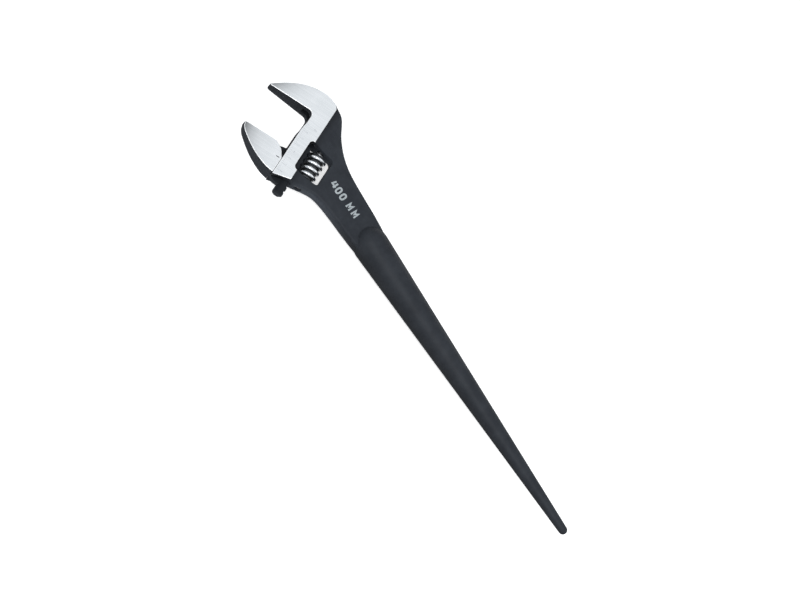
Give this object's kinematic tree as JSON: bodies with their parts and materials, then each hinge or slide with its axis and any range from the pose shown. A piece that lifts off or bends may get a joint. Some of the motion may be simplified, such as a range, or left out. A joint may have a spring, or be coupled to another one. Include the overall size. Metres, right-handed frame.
{
  "type": "adjustable construction wrench",
  "caption": "Adjustable wrench with a sliding hook jaw driven by a thumb knurl, and a long round tapered handle for lining up bolt holes.",
  "frame": {"origin": "middle of the fixed jaw's gripping face, at mid thickness", "axes": "+X along the handle to its point, +Z across the thickness, +Y from the moving jaw's side to the fixed jaw's side"},
  "size_m": [0.4085, 0.0796, 0.0278],
  "materials": {
    "forged_body": "black phosphate, with ground side faces on the head",
    "forged_jaw": "ground side faces, black edges and stem",
    "plated_knurl": "bright plated",
    "steel_pin": "dark oiled steel",
    "spring_steel": "drawn wire"
  },
  "bodies": {
    "frame": {"body": "forged_body", "knurl_pin": "steel_pin", "knurl_spring": "spring_steel"},
    "jaw": {"moving_jaw": "forged_jaw"},
    "thumb_knurl": {"knurl": "plated_knurl"}
  },
  "joints": [
    {"name": "jaw_slide", "type": "slide", "parent": "frame", "child": "jaw", "axis": [-0.3827, 0.9239, 0], "range_m": [-0.0053, 0.0357]},
    {"name": "knurl_spin", "type": "hinge", "parent": "frame", "child": "thumb_knurl", "pos_m": [0.05253, -0.01629, 0], "axis": [-0.3827, 0.9239, 0], "range_deg": [-2575, 390]}
  ],
  "couplings": [
    {"joint": "knurl_spin", "follows": "jaw_slide", "rad_per_m": -1256.6}
  ]
}
